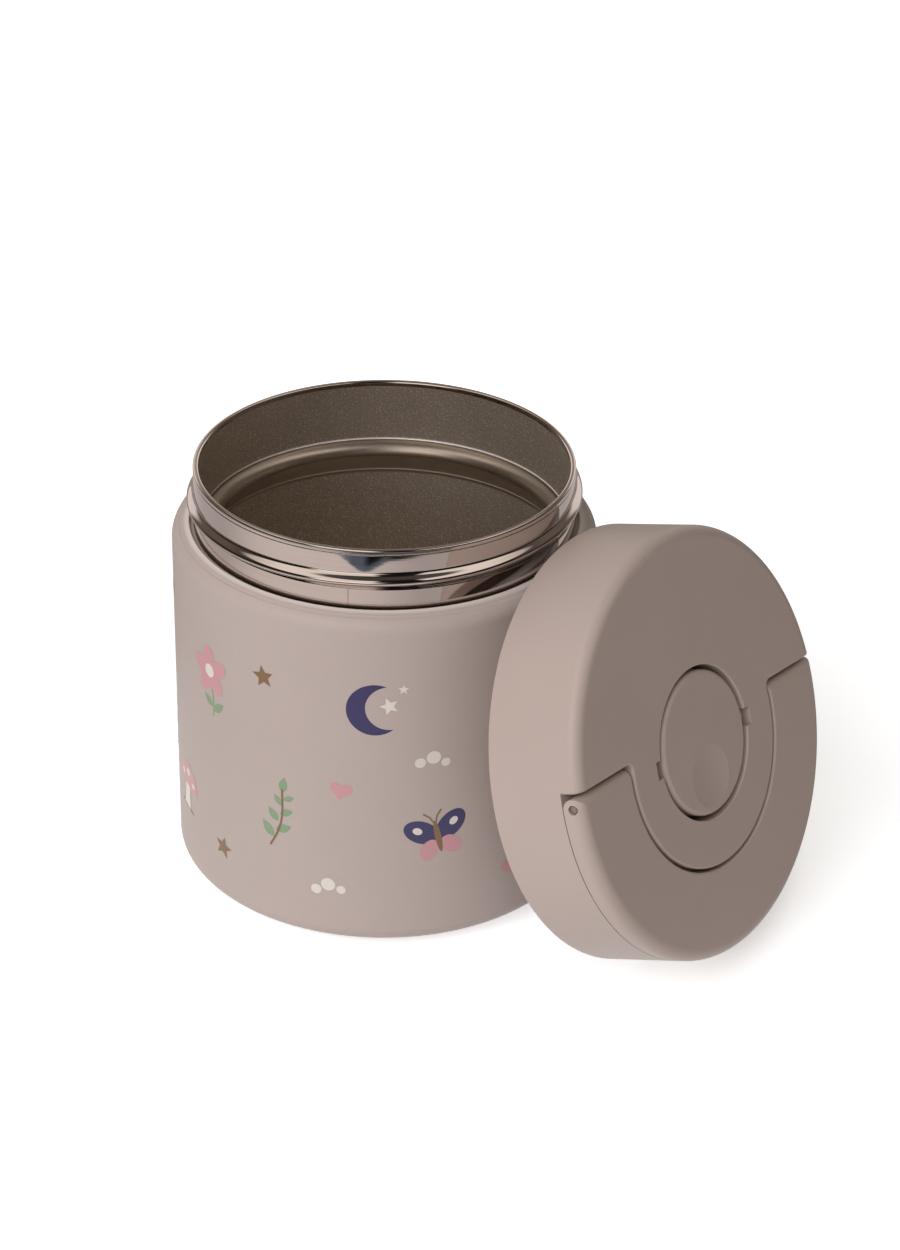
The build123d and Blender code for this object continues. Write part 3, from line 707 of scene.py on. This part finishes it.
# Motif, angle round the jar and height of its middle, and its tilt, in degrees and millimetres
print_layout = [
    (flower, -108, 62, 6), (sprig, -84, 34, -14), (moon, -57, 66, 8),
    (butterfly, -40, 31, 12), (small_heart, -66, 44, -8), (small_star, -88, 70, 10),
    (small_dots, -70, 17, 4), (small_dots, -42, 52, -6), (toadstool, -124, 26, -5),
    (small_star, -104, 18, -12), (sprig, -14, 60, 16), (small_heart, -18, 18, 10),
    (toadstool, 8, 34, 6), (flower, 34, 62, -8), (small_dots, 16, 74, 0),
    (butterfly, 52, 28, -14), (small_star, 58, 52, 4), (moon, 80, 64, -6),
    (sprig, 98, 34, 10), (small_heart, 76, 17, -10), (toadstool, 124, 62, 8),
    (small_dots, 108, 74, 6), (flower, 142, 30, -6), (small_star, 118, 16, 14),
    (butterfly, 168, 64, 10), (small_dots, 160, 44, -4), (sprig, -168, 30, -8),
    (small_star, -152, 58, 0), (moon, -142, 36, 12), (small_heart, -138, 74, 6),
]
inks = {
    "green": printed_ink("ink_sage", tone(132, 156, 122), tone(146, 166, 134)),
    "navy": printed_ink("ink_navy", tone(52, 48, 92), tone(70, 64, 104)),
    "pink": printed_ink("ink_rose", tone(208, 150, 156), tone(202, 158, 158)),
    "ochre": printed_ink("ink_ochre", tone(128, 98, 64), tone(142, 114, 84)),
    "cream": printed_ink("ink_cream", tone(232, 224, 214), tone(220, 208, 198)),
}
first_layer, layer_step = 0.02 * mm, 0.008 * mm  # how far the inks lie above the coat
strip = 1.0  # millimetres: the ink is cut into strips this wide, so that it follows the round wall


def printed(outlines, radius):
    """Ink on the shell: each flat outline, cut into upright strips and wrapped round the body."""
    film = bmesh.new()
    for outline, angle, height in outlines:
        flat = bmesh.new()
        flat.faces.new([flat.verts.new((x, y, 0)) for x, y in outline])
        bmesh.ops.recalc_face_normals(flat, faces=flat.faces[:])
        bmesh.ops.triangulate(flat, faces=flat.faces[:])
        reach = [corner.co.x for corner in flat.verts]
        cut = ceil(min(reach) / strip) * strip
        while cut < max(reach):
            everything = flat.verts[:] + flat.edges[:] + flat.faces[:]
            bmesh.ops.bisect_plane(flat, geom=everything, plane_co=(cut, 0, 0), plane_no=(1, 0, 0))
            cut += strip
        wrapped = {}
        for corner in flat.verts:
            bearing = radians(angle) + corner.co.x * mm / body_radius
            place = (radius * cos(bearing), radius * sin(bearing), (height + corner.co.y) * mm)
            wrapped[corner] = film.verts.new(place)
        for face in flat.faces:
            corners = [wrapped[corner] for corner in face.verts]
            laid = film.faces.new(corners)
            laid.normal_update()
            middle = laid.calc_center_median()
            if laid.normal.dot(Vector((middle.x, middle.y, 0))) < 0:
                laid.normal_flip()
            laid.smooth = True
        flat.free()
    return film


ink_outlines = {ink: [] for ink in inks}
for motif, angle, height, tilt in print_layout:
    for ink, outlines in motif().items():
        ink_outlines[ink] += [(turned(outline, 0, 0, tilt), angle, height) for outline in outlines]
for layer, (ink, outlines) in enumerate(ink_outlines.items()):
    film = printed(outlines, body_radius + first_layer + layer * layer_step)
    mesh = bpy.data.meshes.new(f"print_{ink}")
    film.to_mesh(mesh)
    film.free()
    piece(f"print_{ink}", mesh, inks[ink], "jar")


# ================================================================ camera, floor and light
def placed(name, data, place, forward, up=Vector((0, 0, 1))):
    """An object that looks along forward from place."""
    made = bpy.data.objects.new(name, data)
    bpy.context.collection.objects.link(made)
    across = forward.cross(up).normalized()
    facing = Matrix((across, across.cross(forward), -forward)).transposed().to_4x4()
    made.matrix_world = Matrix.Translation(place) @ facing
    return made


ahead = Vector((-0.5613, 0.8276, 0)).normalized()
right = Vector((ahead.y, -ahead.x, 0))
camera_place = Vector((0.41207, -0.57956, 0.45907))
camera_pitch, camera_roll = 0.51115, 0.01293
view_line = ahead * cos(camera_pitch) - Vector((0, 0, sin(camera_pitch)))
view_up = right.cross(view_line) * cos(camera_roll) - right * sin(camera_roll)
lens = bpy.data.cameras.new("camera")
lens.lens = 98.1
lens.sensor_width = 36
bpy.context.scene.camera = placed("camera", lens, camera_place, view_line, view_up)


def from_camera_side(side, elevation):
    """A direction out from the object: degrees to the right of the camera, and above the floor."""
    level = cos(radians(elevation))
    flat = -ahead * cos(radians(side)) + right * sin(radians(side))
    return flat * level + Vector((0, 0, sin(radians(elevation))))


def softbox(name, side, elevation, width, height, power, colour=(1, 1, 1)):
    """A soft rectangular lamp that faces the object, in a direction given from the camera's side."""
    lamp = bpy.data.lights.new(name, "AREA")
    lamp.shape = "RECTANGLE"
    lamp.size, lamp.size_y = width, height
    lamp.energy = power
    lamp.color = colour
    away = from_camera_side(side, elevation)
    made = placed(name, lamp, scene_middle + away * softbox_distance, -away)
    made.visible_glossy = False  # gloss mirrors the tent instead


scene_middle = Vector((0.03, 0, 0.05))
softbox_distance = 1.7
softbox(
    "key_softbox", side=-31, elevation=38, width=1.8, height=1.3, power=26, colour=(0.96, 0.965, 1)
)
softbox("back_softbox", side=-125, elevation=48, width=1.2, height=1.0, power=3)


def camera_sees(finish):
    """1 for what the camera sees, also in metal or through glass, and 0 for light on the object."""
    rays = ("Is Camera Ray", "Is Glossy Ray", "Is Transmission Ray")
    seen = [finish.node("ShaderNodeLightPath", {}, {}, ray) for ray in rays]
    return seen[0] + seen[1] + seen[2]


def staged(name, corners, faces, material):
    """A surface of the studio, which isn't part of the object."""
    mesh = bpy.data.meshes.new(name)
    mesh.from_pydata(corners, [], faces)
    made = bpy.data.objects.new(name, mesh)
    bpy.context.collection.objects.link(made)
    made.data.materials.append(material)
    return made


def grey(level):
    """A glow without a tint, where 1 is white."""
    return (level, level, level, 1)


def pale_floor():
    """A matt white sheet. To the camera it is lifted to white, and the shadow stays on it.

    It is lifted less near the object and most of all far out. Close to the lid it is lifted
    least, which paints its shadow darker there: painted shadow.
    """
    paper = Finish("studio_floor", {"Specular IOR Level": 0.2, "Emission Strength": 1})
    lift_near, painted_shadow_lift, lift_far = grey(0.62), grey(0.32), grey(0.95)
    near, far_out = 0.12, 0.26
    place = paper.place()
    fibre = paper.noise(place, 3 * mm, detail=3.0)
    out = paper.node("ShaderNodeVectorMath", {"operation": "LENGTH"}, {0: place}, "Value")
    # painted shadow: beside the lid the floor is lifted less, so it shows darker there
    painted_shadow_by_lid = paper.step(paper.along(place, tuple(right)), 0.07, 0.1) * (1 - paper.step(out, 0.09, 0.105))
    lift = paper.blend(lift_near, painted_shadow_lift, painted_shadow_by_lid)
    lift = paper.blend(lift, lift_far, paper.step(out, near, far_out))
    paper.feed(
        paper.shader.socket.node.inputs["Emission Color"],
        paper.blend(grey(0), lift, camera_sees(paper)),
    )
    return paper.varied(
        paper.blend(tone(240, 240, 240), tone(246, 246, 246), fibre),
        0.9 + fibre * 0.05,
        paper.bump(fibre, depth=0.02 * mm, strength=0.2),
    )


far = 6.0
under = -0.05 * mm  # just below the jar's foot
floor_corners = [(-far, -far, under), (far, -far, under), (far, far, under), (-far, far, under)]
staged("floor", floor_corners, [(0, 1, 2, 3)], pale_floor())


def mirrored_only(made):
    """Leaves a surface of the studio to show only as a reflection in gloss, and to shade nothing."""
    made.visible_camera = made.visible_diffuse = made.visible_shadow = False
    made.visible_transmission = made.visible_volume_scatter = False


def studio_glow(name):
    """A black finish whose light is all its own, and lights nothing."""
    finish = Finish(name, {"Base Color": grey(0), "Specular IOR Level": 0, "Emission Strength": 1})
    finish.material.cycles.emission_sampling = "NONE"
    return finish, finish.shader.socket.node.inputs["Emission Color"]


def dark_tent(radius, gloom, panels):
    """The dim room round the table, with a ring of pale cloth overhead and softly lit panels."""
    cloth, glow = studio_glow("studio_tent")
    ring_levels = [sin(radians(rise)) for rise in (40, 45, 60, 65)]
    gap_side, gap_open, gap_end = 10, 12, 20  # the ring's gap: its bearing, and its half widths
    ring_front, ring_behind = (1.15, 1.05, 0.97, 1), (0.6, 0.54, 0.5, 1)
    place = cloth.place()
    shade = gloom
    for side, elevation, half_width, half_height, soft, colour in panels:
        middle = from_camera_side(side, elevation)
        across = Vector((0, 0, 1)).cross(middle).normalized()
        share = cloth.step(cloth.along(place, tuple(middle)), 0, 0.2 * radius)
        for direction, half in ((across, half_width), (middle.cross(across), half_height)):
            off = abs(cloth.along(place, tuple(direction / radius)))
            share = share * (1 - cloth.step(off, sin(radians(half - soft)), sin(radians(half + soft))))
        shade = cloth.blend(shade, colour, share)
    ring = cloth.band(cloth.along(place, (0, 0, 1 / radius)), *ring_levels)
    flat = cloth.stretched(place, (1, 1, 0))
    bearing = cloth.node("ShaderNodeVectorMath", {"operation": "NORMALIZE"}, {0: flat})
    to_gap = cloth.along(bearing, tuple(from_camera_side(gap_side, 0)))
    gap = cloth.step(to_gap, cos(radians(gap_end)), cos(radians(gap_open)))
    behind = cloth.step(cloth.along(bearing, tuple(ahead)), -0.2, 0.4)
    pale = cloth.blend(ring_front, ring_behind, behind)
    cloth.feed(glow, cloth.blend(shade, pale, ring * (1 - gap)))
    rings, spokes = 16, 48
    corners = [
        (radius * cos(pi / 2 * ring / rings) * cos(2 * pi * spoke / spokes),
         radius * cos(pi / 2 * ring / rings) * sin(2 * pi * spoke / spokes),
         radius * sin(pi / 2 * ring / rings))
        for ring in range(rings + 1) for spoke in range(spokes)
    ]
    faces = [
        (ring * spokes + spoke, ring * spokes + (spoke + 1) % spokes,
         (ring + 1) * spokes + (spoke + 1) % spokes, (ring + 1) * spokes + spoke)
        for ring in range(rings) for spoke in range(spokes)
    ]
    mirrored_only(staged("studio_tent", corners, faces, cloth.material))


black = (0.012, 0.011, 0.01, 1)
dark_tent(radius=4.0, gloom=black, panels=[
    # side and elevation of a panel's middle, half its width and height, its soft edge, its glow
    (180, 30, 62, 30, 12, (0.16, 0.13, 0.11, 1)),
    (0, 80, 50, 12, 6, (0.1, 0.09, 0.08, 1)),
    (-22, 27, 17, 14, 5, (1.5, 1.42, 1.36, 1)),
    (-155, 12, 20, 16, 4, (1.0, 0.92, 0.88, 1)),
    (155, 12, 20, 16, 4, (1.0, 0.92, 0.88, 1)),
])


def mirrored_table():
    """The table as polished steel shows it: dimmer at the back, and dark beyond its round edge."""
    card, glow = studio_glow("studio_table")
    table_dim, table_bright = (0.55, 0.5, 0.49, 1), (0.87, 0.79, 0.76, 1)
    edge_left, edge_right, far_wall = (0.46, 0.52, 0.58, 1), (0.12, 0.15, 0.2, 1), (0.4, 0.36, 0.34, 1)
    edge_middle = tuple(ahead * 0.0257 + right * 0.0013)
    edge_radius, nearer_in_front, edge_blur = 0.34, 0.0825, 0.0006
    nick_left, nick_half_width, nick_depth = 0.038, 0.06, 0.007
    bright_side = -40
    place = card.place()
    bearing = card.node("ShaderNodeVectorMath", {"operation": "NORMALIZE"}, {0: place})
    lit = card.step(card.along(bearing, tuple(from_camera_side(bright_side, 0))), 0.45, 1.0)
    top = card.blend(table_dim, table_bright, lit)
    sideways = card.along(place, tuple(right))
    nick = 1 - card.step(abs(sideways + nick_left), 0, nick_half_width)
    apart = {0: place, 1: edge_middle}
    out = card.node("ShaderNodeVectorMath", {"operation": "DISTANCE"}, apart, "Value")
    front = card.step(card.along(bearing, tuple(-ahead)), -0.3, 0.1)
    beyond = out + nick * nick_depth + front * nearer_in_front - edge_radius
    upper_part = card.step(beyond, 0.002, 0.005) * card.step(sideways, -0.045, -0.025)
    past_edge = card.blend(edge_left, edge_right, card.step(sideways, -0.11, -0.06))
    for dark in (upper_part, card.step(beyond, 0.01, 0.02), card.step(sideways, 0.0, 0.03)):
        past_edge = card.blend(past_edge, black, dark)
    past_edge = card.blend(past_edge, far_wall, card.step(beyond - front * 0.06, 0.04, 0.09))
    card.feed(glow, card.blend(top, past_edge, card.step(beyond, -edge_blur, edge_blur)))
    hole, reach, spokes = 0.12, 3.9, 48  # it is open round the jar, and ends inside the tent
    spread = [Vector((cos(2 * pi * k / spokes), sin(2 * pi * k / spokes), 0)) for k in range(spokes)]
    corners = [way * length + Vector((0, 0, 1 * mm)) for length in (hole, reach) for way in spread]
    faces = [(k, (k + 1) % spokes, spokes + (k + 1) % spokes, spokes + k) for k in range(spokes)]
    mirrored_only(staged("studio_table", corners, faces, card.material))


mirrored_table()


class Sky(Finish):
    """The world: an even soft light on the object, and white to the camera."""

    def __init__(self, name, light, backdrop):
        world = bpy.data.worlds.new(name)
        world.use_nodes = True
        self.tree = world.node_tree
        self.tree.nodes.clear()
        shade = self.blend(light, backdrop, camera_sees(self))
        glow = self.node("ShaderNodeBackground", {}, {"Color": shade})
        self.node("ShaderNodeOutputWorld", {}, {"Surface": glow}, None)
        bpy.context.scene.world = world


Sky("studio", (0.146, 0.125, 0.1, 1), grey(1))

bpy.context.scene.view_settings.view_transform = "Standard"
